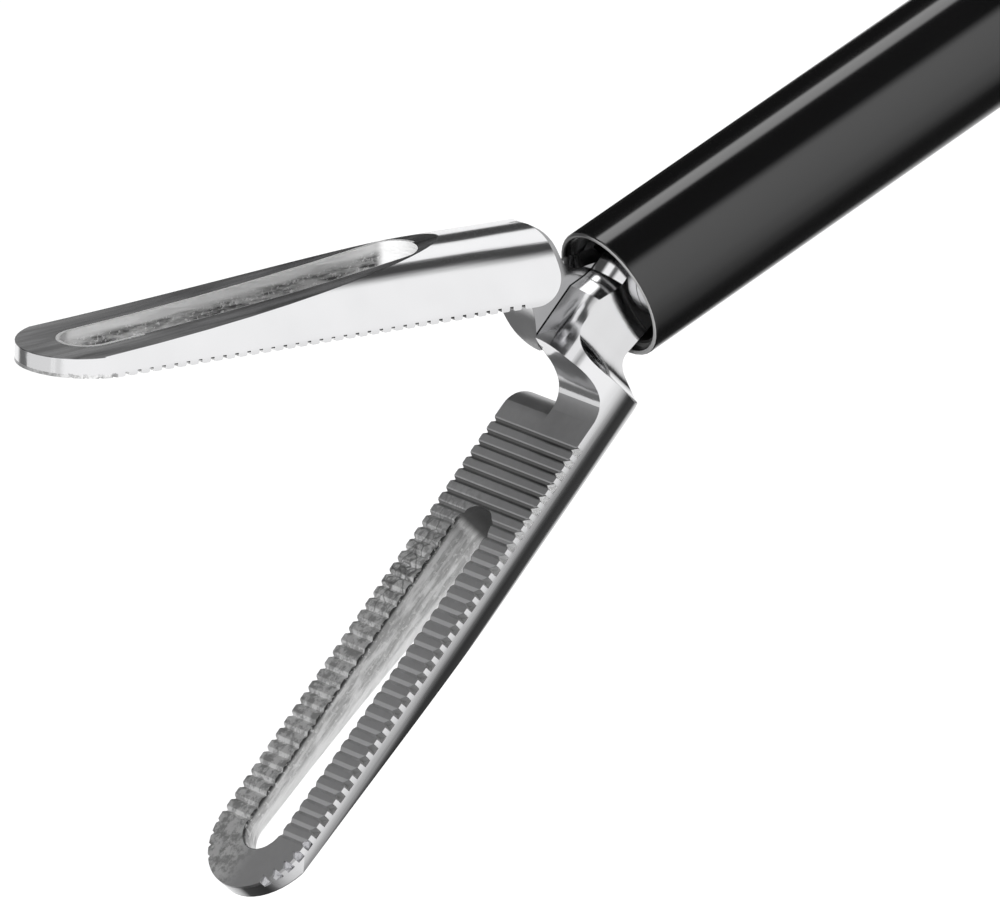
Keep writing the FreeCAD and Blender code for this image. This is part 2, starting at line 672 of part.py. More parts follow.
def screw_space():
    space = None
    for x, z in SCREW_AT:
        y_face = shell_half_at(z)
        one = cyl_y(SCREW_R, SCREW_TIP, y_face, x, z)
        one = one.fuse(cyl_y(SCREW_HEAD_R, y_face - SCREW_HEAD, y_face + WIDE, x, z))
        space = one if space is None else space.fuse(one)
    return space


def shell_half_at(z):
    for (z1, y1), (z0, y0) in zip(SHELL_TAPER, SHELL_TAPER[1:]):
        if z0 <= z <= z1:
            return y0 + (y1 - y0) * (z - z0) / (z1 - z0) - SCREW_SINK
    return SHELL_HALF - SCREW_SINK


def shell_screws():
    screws = []
    for x, z in SCREW_AT:
        y_face = shell_half_at(z)
        one = cyl_y(SCREW_R, SCREW_TIP, y_face, x, z)
        one = one.fuse(cyl_y(SCREW_HEAD_R, y_face - SCREW_HEAD, y_face, x, z))
        hexagon = [V(x + HEX_R * math.cos(math.radians(60 * k)), y_face - HEX_DEPTH,
                     z + HEX_R * math.sin(math.radians(60 * k))) for k in range(7)]
        one = one.cut(Part.Face(Part.makePolygon(hexagon)).extrude(V(0, 2 * HEX_DEPTH, 0)))
        screws.append(one)
    return Part.makeCompound(screws)


# Thumb lever

def thumb_lever():
    head = cyl_y(HEAD_R, -HEAD_HALF, HEAD_HALF, AXLE_X, AXLE_Z)
    head = head.fuse(block(AXLE_X - HEAD_SIDE, AXLE_X + HEAD_SIDE, -HEAD_HALF, HEAD_HALF,
                           AXLE_Z, HEAD_TOP))
    ring = ring_half(THUMB_RING, 0)
    steps = [tuple(v + AXLE_X * (1 - k % 2) for k, v in enumerate(step)) for step in STEM]
    stem = slab(path_face(steps[0], steps[1:]), -HEAD_HALF, HEAD_HALF)
    stem = stem.makeFillet(STEM_ROUND, [e for e in stem.Edges
                                        if abs(e.BoundBox.YMin) > HEAD_HALF - 0.1
                                        and e.BoundBox.YMax - e.BoundBox.YMin < 0.1
                                        and e.BoundBox.ZMin < -WIDE and e.Length > WIDE / 2])
    lever = head.fuse(stem).fuse(ring)
    lever = lever.cut(stadium_slab(THUMB_RING))
    fit = BALL_R + BALL_GAP
    side = BALL_R + SOCKET_GAP
    socket = block(AXLE_X - fit, AXLE_X + fit, -side, side, -side, HEAD_TOP + PAST)
    neck_half = NECK_R + NECK_CLEAR
    neck = block(AXLE_X, AXLE_X + 2 * HEAD_R, -neck_half, neck_half, NECK_FLOOR, HEAD_TOP + PAST)
    cutter = socket.fuse(neck)
    cutter.rotate(V(AXLE_X, 0, AXLE_Z), V(0, 1, 0), SWING_DEG / 2)
    lever = lever.cut(cutter)
    bore = cyl_y(AXLE_R + RUN_CLEAR, -SHELL_HALF, SHELL_HALF, AXLE_X, AXLE_Z)
    return lever.cut(bore).removeSplitter()


def lever_axle():
    reach = SHELL_HALF - AXLE_SKIN
    return cyl_y(AXLE_R, -reach, reach, AXLE_X, AXLE_Z)


# Contact block, post and button

def contact_block():
    body = block(BLOCK_X[0], BLOCK_X[1], -BLOCK_HALF, BLOCK_HALF, BLOCK_Z[0], BLOCK_Z[1])
    body = body.cut(cyl_x(LINER_BORE, BLOCK_X[0] - PAST, BLOCK_X[1] + PAST))
    return body.cut(cyl_z(POST_STEM_R, POST_FOOT, BLOCK_Z[1] + PAST, POST_X, 0))


def electrode_post():
    r = POST_R
    seat = GLAND_TOP + POST_SHOW
    points = [(0, POST_FOOT), (POST_STEM_R, POST_FOOT), (POST_STEM_R, seat), (r, seat),
              (r, POST_TOP - POST_ROUND), (r - POST_EDGE, POST_TOP - POST_EDGE),
              (r - POST_ROUND, POST_TOP), (0, POST_TOP)]
    return revolve_z(points, POST_X)


def post_gland():
    out = POST_STEM_R + GLAND_SLEEVE
    lip, lip_base, lip_edge, lip_top = GLAND_LIP
    points = [(POST_STEM_R, BLOCK_Z[1]), (out, BLOCK_Z[1]), (out, GLAND_BASE), (GLAND_R, GLAND_BASE),
              (GLAND_R, lip_base), (GLAND_R + lip, lip_edge), (GLAND_R + lip, lip_top),
              (GLAND_R - GLAND_SLOPE, GLAND_TOP), (POST_STEM_R, GLAND_TOP)]
    return revolve_z(points, POST_X)


def release_button():
    r = BUTTON_R
    edge = BUTTON_ROUND
    low, land = BUTTON_LAND
    roof = BUTTON_TOP - BUTTON_ROOF
    points = [(r - BUTTON_WALL, low), (r + BUTTON_FLANGE, low), (r + BUTTON_FLANGE, land),
              (r, land), (r, BUTTON_TOP - edge), (r - 0.3 * edge, BUTTON_TOP - 0.3 * edge),
              (r - edge, BUTTON_TOP), (0, BUTTON_TOP - BUTTON_DISH), (0, roof),
              (r - BUTTON_WALL, roof)]
    return revolve_z(points, BUTTON_X)


def button_spring():
    height = BUTTON_TOP - BUTTON_ROOF - SPRING_SEAT - 2 * SPRING_WIRE
    helix = Part.makeHelix(height / SPRING_TURNS, height, SPRING_R)
    profile = Part.Wire([Part.makeCircle(SPRING_WIRE, V(SPRING_R, 0, 0), V(0, 1, 0))])
    coil = Part.Wire(helix.Edges).makePipeShell([profile], True, True)
    coil.translate(V(BUTTON_X, 0, SPRING_SEAT + SPRING_WIRE))
    return coil


def main():
    os.makedirs("parts", exist_ok=True)
    upper = upper_jaw()
    nodes = {
        "upper_jaw": upper,
        "lower_jaw": half_turn(upper),
        "jaw_clevis": clevis(),
        "jaw_pivot_pin": pivot_pin(),
        "drive_pin": drive_pin(),
        "rod_blade": rod_blade(),
        "push_rod": push_rod(),
        "rod_ball": rod_ball(),
        "shaft_tube": steel_tube(),
        "insulation_sleeve": insulation_sleeve(),
        "rod_liner": rod_liner(),
        "rod_seal": rod_seal(),
        "bearing_hub": bearing_hub(),
        "rotation_knob": rotation_knob(),
        "nose_cap": nose_cap(),
        "port_cap": port_cap(),
        "handle_right": handle_shell(1),
        "handle_left": handle_shell(-1),
        "shell_screws": shell_screws(),
        "thumb_lever": thumb_lever(),
        "lever_axle": lever_axle(),
        "finger_ring_liner": ring_liner(FINGER_RING),
        "thumb_ring_liner": ring_liner(THUMB_RING),
        "contact_block": contact_block(),
        "electrode_post": electrode_post(),
        "post_gland": post_gland(),
        "release_button": release_button(),
        "button_spring": button_spring(),
    }
    for name, shape in nodes.items():
        if len(shape.Solids) == 1:
            shape = shape.Solids[0]
        print(name, shape.ShapeType, len(shape.Solids), round(shape.Volume, 3), shape.isValid())
        shape.exportStep("parts/" + name + ".step")


main()
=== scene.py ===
import math

import bpy
from mathutils import Matrix, Vector


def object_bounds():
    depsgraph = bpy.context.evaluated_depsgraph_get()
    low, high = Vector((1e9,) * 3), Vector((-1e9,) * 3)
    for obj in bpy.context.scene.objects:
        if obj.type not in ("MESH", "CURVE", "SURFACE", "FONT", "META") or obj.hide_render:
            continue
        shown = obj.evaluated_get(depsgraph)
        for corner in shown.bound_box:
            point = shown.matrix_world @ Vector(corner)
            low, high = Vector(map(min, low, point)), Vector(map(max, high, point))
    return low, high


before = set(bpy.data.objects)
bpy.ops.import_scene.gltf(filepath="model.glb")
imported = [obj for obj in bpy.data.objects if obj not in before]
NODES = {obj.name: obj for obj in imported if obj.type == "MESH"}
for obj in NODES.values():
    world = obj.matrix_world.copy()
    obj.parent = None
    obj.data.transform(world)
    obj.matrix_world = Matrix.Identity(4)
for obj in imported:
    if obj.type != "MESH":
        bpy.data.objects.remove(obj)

START_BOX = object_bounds()

# A jaw in its own frame: x runs from the pivot to the tip, outward away from the toothed face
PIVOT_X = -0.00198
OPEN = math.radians(24.0)
SKIN = 0.00242
WINDOW_START = 0.01046
WINDOW_END = 0.0251
WINDOW_HALF = 0.000975
EASED_EDGE = 0.00014
BACK = ((0.0092, 0.00245), (0.0175, 0.00138), (0.0276, 0.00062))
TUBE_BORE = 0.00222

# Where a jaw's finishes, painted highlights and painted shade begin and end, in that frame
MASK_SLACK = 0.00002
SKIN_SLACK = 0.00001
GRIND_SLACK = 0.00003
BODY_START = 0.0056
ARM_INSIDE_HALF = 0.00004
ARM_INSIDE_END = 0.0062
NOSE_END = 0.0068
NOSE_OUTWARD = (0.00003, 0.00135)
NICKS_ALONG = (0.0070, 0.0240)
NICKS_OUTWARD = (0.0001, 0.00034)
NICKS_INNER = 0.0020
FACE_DEPTH = 0.00012
FACE_HALF = 0.00240
GROOVE_FLOOR = 0.00003
RIM_HIGHLIGHT_LOW = 0.0004
RIM_HIGHLIGHT_FAR = 0.0225
WORN_ALONG = (0.0085, 0.0140)
WORN_ACROSS = (-0.0006, 0.0008)
CRACKS_BEGIN = (0.0095, 0.0110)
CRACKS_FADE = (0.0175, 0.0135)
GROOVE_SHADE_FADE = (0.0125, 0.0100)
NICK_HIGHLIGHT_FADE = (0.0105, 0.0135)
WALL_FOOT_SHADE = (0.00022, 0.00006)
WALL_RIM_HIGHLIGHT = (0.00050, 0.00020)
ROUND_END = (WINDOW_START + 0.0009, WINDOW_START + 0.0005)

# Draw lines run along X, turning rings across it
DRAWN = (60, 2200, 2200)
TURNED = (2500, 60, 60)

# Camera: the picture's own right, up and toward directions in the object's frame
SHOT_RIGHT = Vector((-0.74337, 0.59702, -0.30161))
SHOT_UP = Vector((-0.52010, -0.23239, 0.82188))
SHOT_BACK = Vector((0.42058, 0.76783, 0.48326))
SHOT_DISTANCE = 0.5
PIXELS_PER_METRE = 28511.0
PICTURE_WIDTH = 1000
PICTURE_CENTRE = (500.0, 460.0)
MOUTH_PIXEL = (608.1, 294.8)
SENSOR = 36.0

# The floor: how white the camera sees it, and the greys by y that steel mirrors in it. The greys
# slant with x, and past FAR_START only the strip between two directions stays dark
FLOOR_SIZE = 12.0
FLOOR_LIFT = 0.25
FLOOR_REACH = 0.3
FLOOR_GREYS = [(-0.185, 0.03), (-0.172, 1.0), (-0.12, 1.0), (-0.075, 0.7), (-0.05, 0.45), (-0.03, 0.06),
               (0.03, 0.035), (0.045, 0.08), (0.053, 0.13), (0.062, 0.3), (0.077, 0.46), (0.09, 0.58),
               (0.105, 0.70), (0.14, 0.84), (0.3, 1.0)]
SLANT_STEEPNESS = (1.3, 2.2)
SLANT_START = -0.067
SLANT_RANGE = (-0.013, 0.028)
FAR_BAND = (0.40, 0.555, 1.02)
FAR_START = (-0.16, -0.18)
FAR_SOFT = 0.004
WIDE_SOFT = 0.01
FLOOR_SHADE = 0.85
SHADE_X = (0.05, 0.25)
SHADE_Y = (0.0, -0.1)

# The room that steel mirrors, by direction: a pale wall, a long lamp and a dim back, and in front
# the greys by the turn round X in degrees
WALL_LEAN = -0.1
WALL_EDGE = (-0.27, 0.13)
LAMP_ANGLE = math.radians(118.0)
LAMP_FLARE = math.radians(33.0)
LAMP_HALF = math.radians(-3.4)
LAMP_SOFT = 0.06
LAMP_LEVELS = (1.05, 1.9)
LAMP_STEP = (-0.65, -0.5)
BACK_GREY = 0.01
BACK_RISE = (0.24, -0.35, 0.05)
BACK_END = (0.05, -0.45, -0.62)
SKYLINE_X = (-0.50, -0.60)
SKYLINE_Z = (0.13, 0.05)
FRONT_EDGE = (-0.12, 0.03)
FRONT_GREYS = [(50, 0.3), (58, 0.9), (84, 0.9), (89, 0.08), (94, 0.08), (98, 1.0), (110, 1.0),
               (115, 0.06), (131, 0.06), (138, 0.32)]
END_WALL = 0.75
END_WALL_X = (0.4, 0.6)
END_WALL_Z = (0.35, 0.2)
SOFT_FILL = 0.55

# The first input, the second and the output that a Mix node uses for each kind of value
MIX_SOCKETS = {"RGBA": (6, 7, 2), "FLOAT": (2, 3, 0)}


# ---- Small tools for node trees

def add(tree, kind, **values):
    node = tree.nodes.new(kind)
    for key, value in values.items():
        setattr(node, key, value)
    return node


def feed(tree, value, socket):
    if isinstance(value, bpy.types.NodeSocket):
        tree.links.new(value, socket)
    elif socket.type == "RGBA":
        grey = (value,) * 3 if isinstance(value, (int, float)) else value
        socket.default_value = (*grey, 1.0)
    else:
        socket.default_value = value


def math_step(tree, operation, a, b=0.0):
    node = add(tree, "ShaderNodeMath", operation=operation)
    feed(tree, a, node.inputs[0])
    feed(tree, b, node.inputs[1])
    return node.outputs[0]


def plus(tree, a, b):
    return math_step(tree, "ADD", a, b)


def minus(tree, a, b):
    return math_step(tree, "SUBTRACT", a, b)


def times(tree, a, b):
    return math_step(tree, "MULTIPLY", a, b)


def below(tree, a, b):
    return math_step(tree, "LESS_THAN", a, b)


def above(tree, a, b):
    return math_step(tree, "GREATER_THAN", a, b)


def between(tree, a, low, high):
    return times(tree, above(tree, a, low), below(tree, a, high))


def larger(tree, a, b):
    return math_step(tree, "MAXIMUM", a, b)


def size_of(tree, a):
    return math_step(tree, "ABSOLUTE", a)


def hypotenuse(tree, a, b):
    return math_step(tree, "SQRT", plus(tree, times(tree, a, a), times(tree, b, b)))


def all_of(tree, first, *others):
    for mask in others:
        first = times(tree, first, mask)
    return first


def eased(tree, value, low, high):
    node = add(tree, "ShaderNodeMapRange", interpolation_type="SMOOTHSTEP")
    feed(tree, value, node.inputs["Value"])
    node.inputs["From Min"].default_value = low
    node.inputs["From Max"].default_value = high
    return node.outputs["Result"]


def blend(tree, factor, a, b, kind="RGBA"):
    node = add(tree, "ShaderNodeMix", data_type=kind)
    first, second, result = MIX_SOCKETS[kind]
    feed(tree, factor, node.inputs[0])
    feed(tree, a, node.inputs[first])
    feed(tree, b, node.inputs[second])
    return node.outputs[result]


def blend_value(tree, factor, a, b):
    return blend(tree, factor, a, b, "FLOAT")


def ramp(tree, value, stops):
    node = add(tree, "ShaderNodeValToRGB")
    feed(tree, value, node.inputs["Fac"])
    elements = node.color_ramp.elements
    while len(elements) < len(stops):
        elements.new(0.5)
    for element, (at, grey) in zip(elements, stops):
        element.position = at
        element.color = (grey, grey, grey, 1.0)
    return node.outputs["Color"]


def parts_of(tree, vector):
    node = add(tree, "ShaderNodeSeparateXYZ")
    feed(tree, vector, node.inputs[0])
    return node.outputs


def stretched(tree, vector, scale):
    node = add(tree, "ShaderNodeMapping")
    feed(tree, vector, node.inputs["Vector"])
    feed(tree, scale, node.inputs["Scale"])
    return node.outputs["Vector"]


def noise(tree, vector, scale, detail=4.0, roughness=0.55):
    node = add(tree, "ShaderNodeTexNoise")
    feed(tree, vector, node.inputs["Vector"])
    feed(tree, scale, node.inputs["Scale"])
    node.inputs["Detail"].default_value = detail
    node.inputs["Roughness"].default_value = roughness
    return node.outputs["Fac"]


def bent(tree, vector, scale, reach):
    swirl = add(tree, "ShaderNodeTexNoise")
    feed(tree, vector, swirl.inputs["Vector"])
    swirl.inputs["Scale"].default_value = scale
    node = add(tree, "ShaderNodeVectorMath", operation="MULTIPLY_ADD")
    feed(tree, swirl.outputs["Color"], node.inputs[0])
    node.inputs[1].default_value = (reach,) * 3
    feed(tree, vector, node.inputs[2])
    return node.outputs[0]


def bump(tree, height, strength, depth, under=None):
    node = add(tree, "ShaderNodeBump")
    node.inputs["Strength"].default_value = strength
    feed(tree, depth, node.inputs["Distance"])
    feed(tree, height, node.inputs["Height"])
    if under is not None:
        feed(tree, under, node.inputs["Normal"])
    return node.outputs["Normal"]


def new_group(title, takes, gives):
    group = bpy.data.node_groups.new(title, "ShaderNodeTree")
    for flow, sockets in (("INPUT", takes), ("OUTPUT", gives)):
        for name, kind in sockets:
            group.interface.new_socket(name=name, in_out=flow, socket_type="NodeSocket" + kind)
    return group, add(group, "NodeGroupInput").outputs, add(group, "NodeGroupOutput").inputs


def new_material(name):
    mat = bpy.data.materials.new(name)
    mat.use_nodes = True
    tree = mat.node_tree
    return mat, tree, tree.nodes["Principled BSDF"], add(tree, "ShaderNodeTexCoord").outputs["Object"]


def dress(tree, shader, group, values):
    node = add(tree, "ShaderNodeGroup", node_tree=group)
    for name, value in values.items():
        feed(tree, value, node.inputs[name])
    for name, socket in (("Colour", "Base Color"), ("Roughness", "Roughness"),
                         ("Metal", "Metallic"), ("Normal", "Normal")):
        if name in node.outputs:
            feed(tree, node.outputs[name], shader.inputs[socket])
    return node.outputs


# ---- Finishes that several pieces share, the jaws' one with painted highlights and painted shade

def metal_grain():
    """Draw lines or turning rings, as the stretch sets them, over faint clouds."""
    group, take, give = new_group(
        "Metal grain",
        [("Point", "Vector"), ("Stretch", "Vector"), ("Dark", "Color"), ("Bright", "Color"),
         ("Smoothest", "Float")],
        [("Colour", "Color"), ("Roughness", "Float"), ("Normal", "Vector")])
    lines = noise(group, stretched(group, take["Point"], take["Stretch"]), 1.0, 5.0, 0.6)
    clouds = noise(group, take["Point"], 240.0, 3.0)
    tone = times(group, plus(group, lines, clouds), 0.5)
    feed(group, blend(group, tone, take["Dark"], take["Bright"]), give["Colour"])
    feed(group, plus(group, times(group, lines, 0.16), take["Smoothest"]), give["Roughness"])
    feed(group, bump(group, lines, 0.12, 0.00005), give["Normal"])
    return group


def moulded_grain():
    """The fine sparked grain of a mould, with a faint uneven tone."""
    group, take, give = new_group(
        "Moulded grain",
        [("Point", "Vector"), ("Dark", "Color"), ("Light", "Color"), ("Smoothest", "Float"),
         ("Grain", "Float"), ("Depth", "Float")],
        [("Colour", "Color"), ("Roughness", "Float"), ("Normal", "Vector")])
    grain = noise(group, take["Point"], take["Grain"], 4.0, 0.6)
    cloud = noise(group, take["Point"], 60.0, 3.0)
    feed(group, blend(group, cloud, take["Dark"], take["Light"]), give["Colour"])
    feed(group, plus(group, times(group, grain, 0.18), take["Smoothest"]), give["Roughness"])
    feed(group, bump(group, grain, 0.3, take["Depth"]), give["Normal"])
    return group


def window_distance(tree, x, y):
    middle = (WINDOW_START + WINDOW_END) / 2
    straight = (WINDOW_END - WINDOW_START) / 2 - WINDOW_HALF
    past = larger(tree, minus(tree, size_of(tree, minus(tree, x, middle)), straight), 0.0)
    return hypotenuse(tree, past, y)


def back_height(tree, x):
    (x0, z0), (x1, z1), (x2, z2) = BACK
    slope = (z1 - z0) / (x1 - x0)
    curve = ((z2 - z1) / (x2 - x1) - slope) / (x2 - x0)
    first = minus(tree, x, x0)
    second = times(tree, first, minus(tree, x, x1))
    return plus(tree, plus(tree, times(tree, first, slope), times(tree, second, curve)), z0)


def jaw_finish_and_painted_light():
    """A jaw: polished skin, ground back and toothed face, with the window's rough walls, and painted
    light: painted shade in the grooves, at the walls' foot, on the arm's inner face and on the lower jaw's
    nose, and painted highlights on the window's rim, the walls' rim and the nicks, with a painted
    highlight or painted shade at each window's end.

    Side is 1 for the upper jaw and -1 for the lower. Across is positive on the half without the arm."""
    tree, take, give = new_group(
        "Jaw finish and painted light",
        [("Point", "Vector"), ("Side", "Float"), ("Wall low", "Color"), ("Wall high", "Color"),
         ("Window end light and shade", "Color"), ("Dull nose and shade", "Float")],
        [("Colour", "Color"), ("Roughness", "Float"), ("Metal", "Float"), ("Normal", "Vector")])
    place = parts_of(tree, take["Point"])
    side = take["Side"]
    from_pivot = minus(tree, place[0], PIVOT_X)
    lift = times(tree, place[2], side)
    x = plus(tree, times(tree, from_pivot, math.cos(OPEN)), times(tree, lift, math.sin(OPEN)))
    outward = minus(tree, times(tree, lift, math.cos(OPEN)), times(tree, from_pivot, math.sin(OPEN)))
    across = times(tree, place[1], side)
    width = size_of(tree, across)
    radius = hypotenuse(tree, across, outward)
    joined = add(tree, "ShaderNodeCombineXYZ")
    feed(tree, x, joined.inputs[0])
    feed(tree, plus(tree, across, times(tree, side, 0.05)), joined.inputs[1])
    feed(tree, outward, joined.inputs[2])
    local = joined.outputs[0]

    # Where each finish and each painted highlight and painted shade lies
    body = above(tree, x, BODY_START)
    arm_side = below(tree, across, 0.0)
    to_window = window_distance(tree, x, across)
    window = below(tree, to_window, WINDOW_HALF + MASK_SLACK)
    rim_highlight = all_of(tree, above(tree, outward, RIM_HIGHLIGHT_LOW), below(tree, to_window, WINDOW_HALF + EASED_EDGE),
                   larger(tree, arm_side, above(tree, x, RIM_HIGHLIGHT_FAR)))
    height_left = minus(tree, back_height(tree, x), outward)
    ground_back = all_of(tree, below(tree, height_left, GRIND_SLACK), body,
                         below(tree, radius, SKIN - SKIN_SLACK))
    arm_inside_shade = times(tree, below(tree, width, ARM_INSIDE_HALF), below(tree, x, ARM_INSIDE_END))
    nose = all_of(tree, take["Dull nose and shade"], body, above(tree, across, MASK_SLACK),
                  below(tree, x, NOSE_END), between(tree, outward, *NOSE_OUTWARD))
    nicks = all_of(tree, between(tree, x, *NICKS_ALONG), between(tree, outward, *NICKS_OUTWARD),
                   above(tree, width, NICKS_INNER), below(tree, radius, SKIN - MASK_SLACK))
    face = all_of(tree, body, below(tree, outward, FACE_DEPTH), below(tree, width, FACE_HALF))
    groove = times(tree, face, above(tree, outward, GROOVE_FLOOR))
    to_tip = eased(tree, x, *WORN_ALONG)
    free_half = eased(tree, across, *WORN_ACROSS)

    # Patterns
    streaks = noise(tree, stretched(tree, local, (90, 1500, 1500)), 1.0, 5.0, 0.6)
    grit = noise(tree, local, 2600.0, 6.0, 0.7)
    blotches = eased(tree, noise(tree, local, 2300.0, 5.0, 0.7), 0.40, 0.58)
    scratches = eased(tree, noise(tree, stretched(tree, local, (700, 700, 3600)), 1.0, 5.0, 0.65),
                      0.36, 0.62)
    specks = eased(tree, noise(tree, local, 5200.0, 4.0, 0.7), 0.54, 0.62)
    clouds = noise(tree, local, 380.0, 3.0)
    swell = noise(tree, stretched(tree, local, (0.35, 1, 1)), 420.0, 1.0)
    cells = add(tree, "ShaderNodeTexVoronoi", feature="DISTANCE_TO_EDGE")
    feed(tree, bent(tree, local, 1800.0, 0.0004), cells.inputs["Vector"])
    cells.inputs["Scale"].default_value = 1900.0
    cracks = eased(tree, plus(tree, cells.outputs["Distance"], times(tree, grit, 0.25)), 0.24, 0.12)
    cracks = all_of(tree, cracks, eased(tree, x, *CRACKS_BEGIN), eased(tree, x, *CRACKS_FADE))

    # Colours, with painted highlights and painted shade among them
    polished = blend(tree, clouds, (0.80, 0.80, 0.81), (0.90, 0.90, 0.91))
    near_heel = blend(tree, grit, (0.50, 0.50, 0.505), (0.64, 0.64, 0.65))
    worn = blend(tree, blotches, 0.52, 1.0)
    worn = blend(tree, times(tree, cracks, 0.75), worn, 0.16)
    plain = blend(tree, grit, (0.54, 0.54, 0.545), (0.66, 0.66, 0.67))
    ground = blend(tree, to_tip, near_heel, blend(tree, free_half, plain, worn))
    # Painted shade: the toothed face's grooves are darkened to 0.20 near the heel, fading out towards the
    # tip
    groove_shade = times(tree, groove, eased(tree, x, *GROOVE_SHADE_FADE))
    ground = blend(tree, groove_shade, ground, 0.20)
    walls = blend(tree, scratches, take["Wall low"], take["Wall high"])
    # Painted shadow: the window walls turn dark, 0.08, within a fraction of a millimetre of the toothed
    # face, under the rim
    walls = blend(tree, eased(tree, outward, *WALL_FOOT_SHADE), walls, 0.08)
    walls = blend(tree, times(tree, specks, 0.6), walls, 0.95)
    # Painted highlight: the window walls turn near white, 0.97, close to the ground back's rim
    walls = blend(tree, eased(tree, height_left, *WALL_RIM_HIGHLIGHT), walls, 0.97)
    # The window's round end, made non-metal: a painted highlight (0.97) on the upper jaw and painted shade
    # (0.06) on the lower
    end = eased(tree, x, *ROUND_END)
    walls = blend(tree, end, walls, take["Window end light and shade"])
    # Painted light on the nicks: on the arm's half a painted highlight, near white by the heel and greyer
    # towards the tip; on the other half painted shade
    nick_highlight_shade = blend(tree, arm_side, 0.10, blend(tree, eased(tree, x, *NICK_HIGHLIGHT_FADE), 0.97, 0.62))
    colour = blend(tree, face, polished, ground)
    lines = eased(tree, streaks, 0.36, 0.64)
    ground_lines = blend(tree, lines, (0.10, 0.10, 0.102), (0.34, 0.34, 0.35))
    colour = blend(tree, ground_back, colour, ground_lines)
    # Painted shade on the lower jaw's rounded nose, darkened to 0.42; the nose is also made rougher
    colour = blend(tree, nose, colour, (0.42, 0.42, 0.425))
    # Painted shade: the arm's inner face, between the two jaws' arms, is darkened to 0.42
    colour = blend(tree, arm_inside_shade, colour, (0.42, 0.42, 0.425))
    colour = blend(tree, nicks, colour, nick_highlight_shade)
    # Painted highlight: a near-white band round the window's rim on the back, standing in for a lit
    # chamfer
    colour = blend(tree, rim_highlight, colour, 0.97)
    feed(tree, blend(tree, window, colour, walls), give["Colour"])

    # Gloss and surface
    rough = blend_value(tree, face, plus(tree, times(tree, streaks, 0.09), 0.07),
                        plus(tree, times(tree, grit, 0.25), 0.28))
    rough = blend_value(tree, ground_back, rough, plus(tree, times(tree, streaks, 0.3), 0.06))
    rough = blend_value(tree, nose, rough, 0.34)
    rough = blend_value(tree, larger(tree, rim_highlight, nicks), rough, 0.6)
    feed(tree, blend_value(tree, window, rough, 0.42), give["Roughness"])
    feed(tree, minus(tree, 1.0, all_of(tree, window, end)), give["Metal"])
    fine = blend_value(tree, window, times(tree, streaks, 0.35), scratches)
    surface = bump(tree, fine, 0.25, 0.00006)
    feed(tree, bump(tree, swell, 0.5, 0.00012, under=surface), give["Normal"])
    return tree


# ---- Materials

def jaw_steel(name, group, side, wall_low, wall_high, window_end_light_shade, dull_nose_and_shade):
    mat, tree, shader, point = new_material(name)
    dress(tree, shader, group, {"Point": point, "Side": side, "Wall low": wall_low, "Wall high": wall_high,
                                "Window end light and shade": window_end_light_shade, "Dull nose and shade": dull_nose_and_shade})
    return mat


def metal(name, group, stretch, dark, bright, smoothest):
    mat, tree, shader, point = new_material(name)
    dress(tree, shader, group, {"Point": point, "Stretch": stretch, "Dark": dark, "Bright": bright,
                                "Smoothest": smoothest})
    shader.inputs["Metallic"].default_value = 1.0
    return mat


def bored_tube(group):
    mat, tree, shader, point = new_material("bored_tube")
    rings = dress(tree, shader, group, {"Point": point, "Stretch": (1800, 300, 300),
                                        "Dark": 0.66, "Bright": 0.80, "Smoothest": 0.14})
    place = parts_of(tree, point)
    # Painted shade: inside the bore the tube's colour is darkened to between 0.02 and 0.4 and made rougher
    bore_shade = below(tree, hypotenuse(tree, place[1], place[2]), TUBE_BORE)
    feed(tree, blend(tree, bore_shade, rings["Colour"], blend(tree, rings["Roughness"], 0.02, 0.4)),
         shader.inputs["Base Color"])
    feed(tree, blend_value(tree, bore_shade, rings["Roughness"], plus(tree, rings["Roughness"], 0.28)),
         shader.inputs["Roughness"])
    shader.inputs["Metallic"].default_value = 1.0
    return mat


def sleeve_black():
    """Shrunk polymer: wet-looking black, with a painted highlight on one side of the cut edge and a coat
    faded towards the bottom as painted shade.
    """
    mat, tree, shader, point = new_material("sleeve_black")
    place = parts_of(tree, point)
    cut_edge = above(tree, place[0], -0.00003)
    peel = noise(tree, stretched(tree, point, (0.35, 1, 1)), 900.0, 3.0, 0.5)
    gloss = blend(tree, noise(tree, point, 160.0, 3.0), (0.003, 0.003, 0.0032), (0.006, 0.006, 0.0062))
    # Painted highlight: the cut edge is pale on the +y side and near black, 0.015, on the other
    pale = blend(tree, peel, 0.32, 0.50)
    edge_highlight = blend(tree, eased(tree, place[1], -0.0003, 0.0007), 0.015, pale)
    feed(tree, blend(tree, cut_edge, gloss, edge_highlight), shader.inputs["Base Color"])
    feed(tree, blend_value(tree, cut_edge, plus(tree, times(tree, peel, 0.06), 0.11), 0.5),
         shader.inputs["Roughness"])
    graze = add(tree, "ShaderNodeLayerWeight").outputs["Facing"]
    # Painted shade on the sheen: the coat weight fades out towards the bottom of the sleeve
    coat_shade_below = eased(tree, place[2], -0.0010, 0.0016)
    feed(tree, times(tree, eased(tree, graze, 0.80, 0.52), coat_shade_below), shader.inputs["Coat Weight"])
    shader.inputs["Coat Roughness"].default_value = 0.06
    feed(tree, bump(tree, peel, 0.05, 0.00003), shader.inputs["Normal"])
    return mat


def moulded(name, group, dark, light, smoothest, grain, depth):
    mat, tree, shader, point = new_material(name)
    dress(tree, shader, group, {"Point": point, "Dark": dark, "Light": light, "Smoothest": smoothest,
                                "Grain": grain, "Depth": depth})
    return mat


def put(mat, *names):
    for name in names:
        mesh = NODES[name].data
        mesh.materials.clear()
        mesh.materials.append(mat)


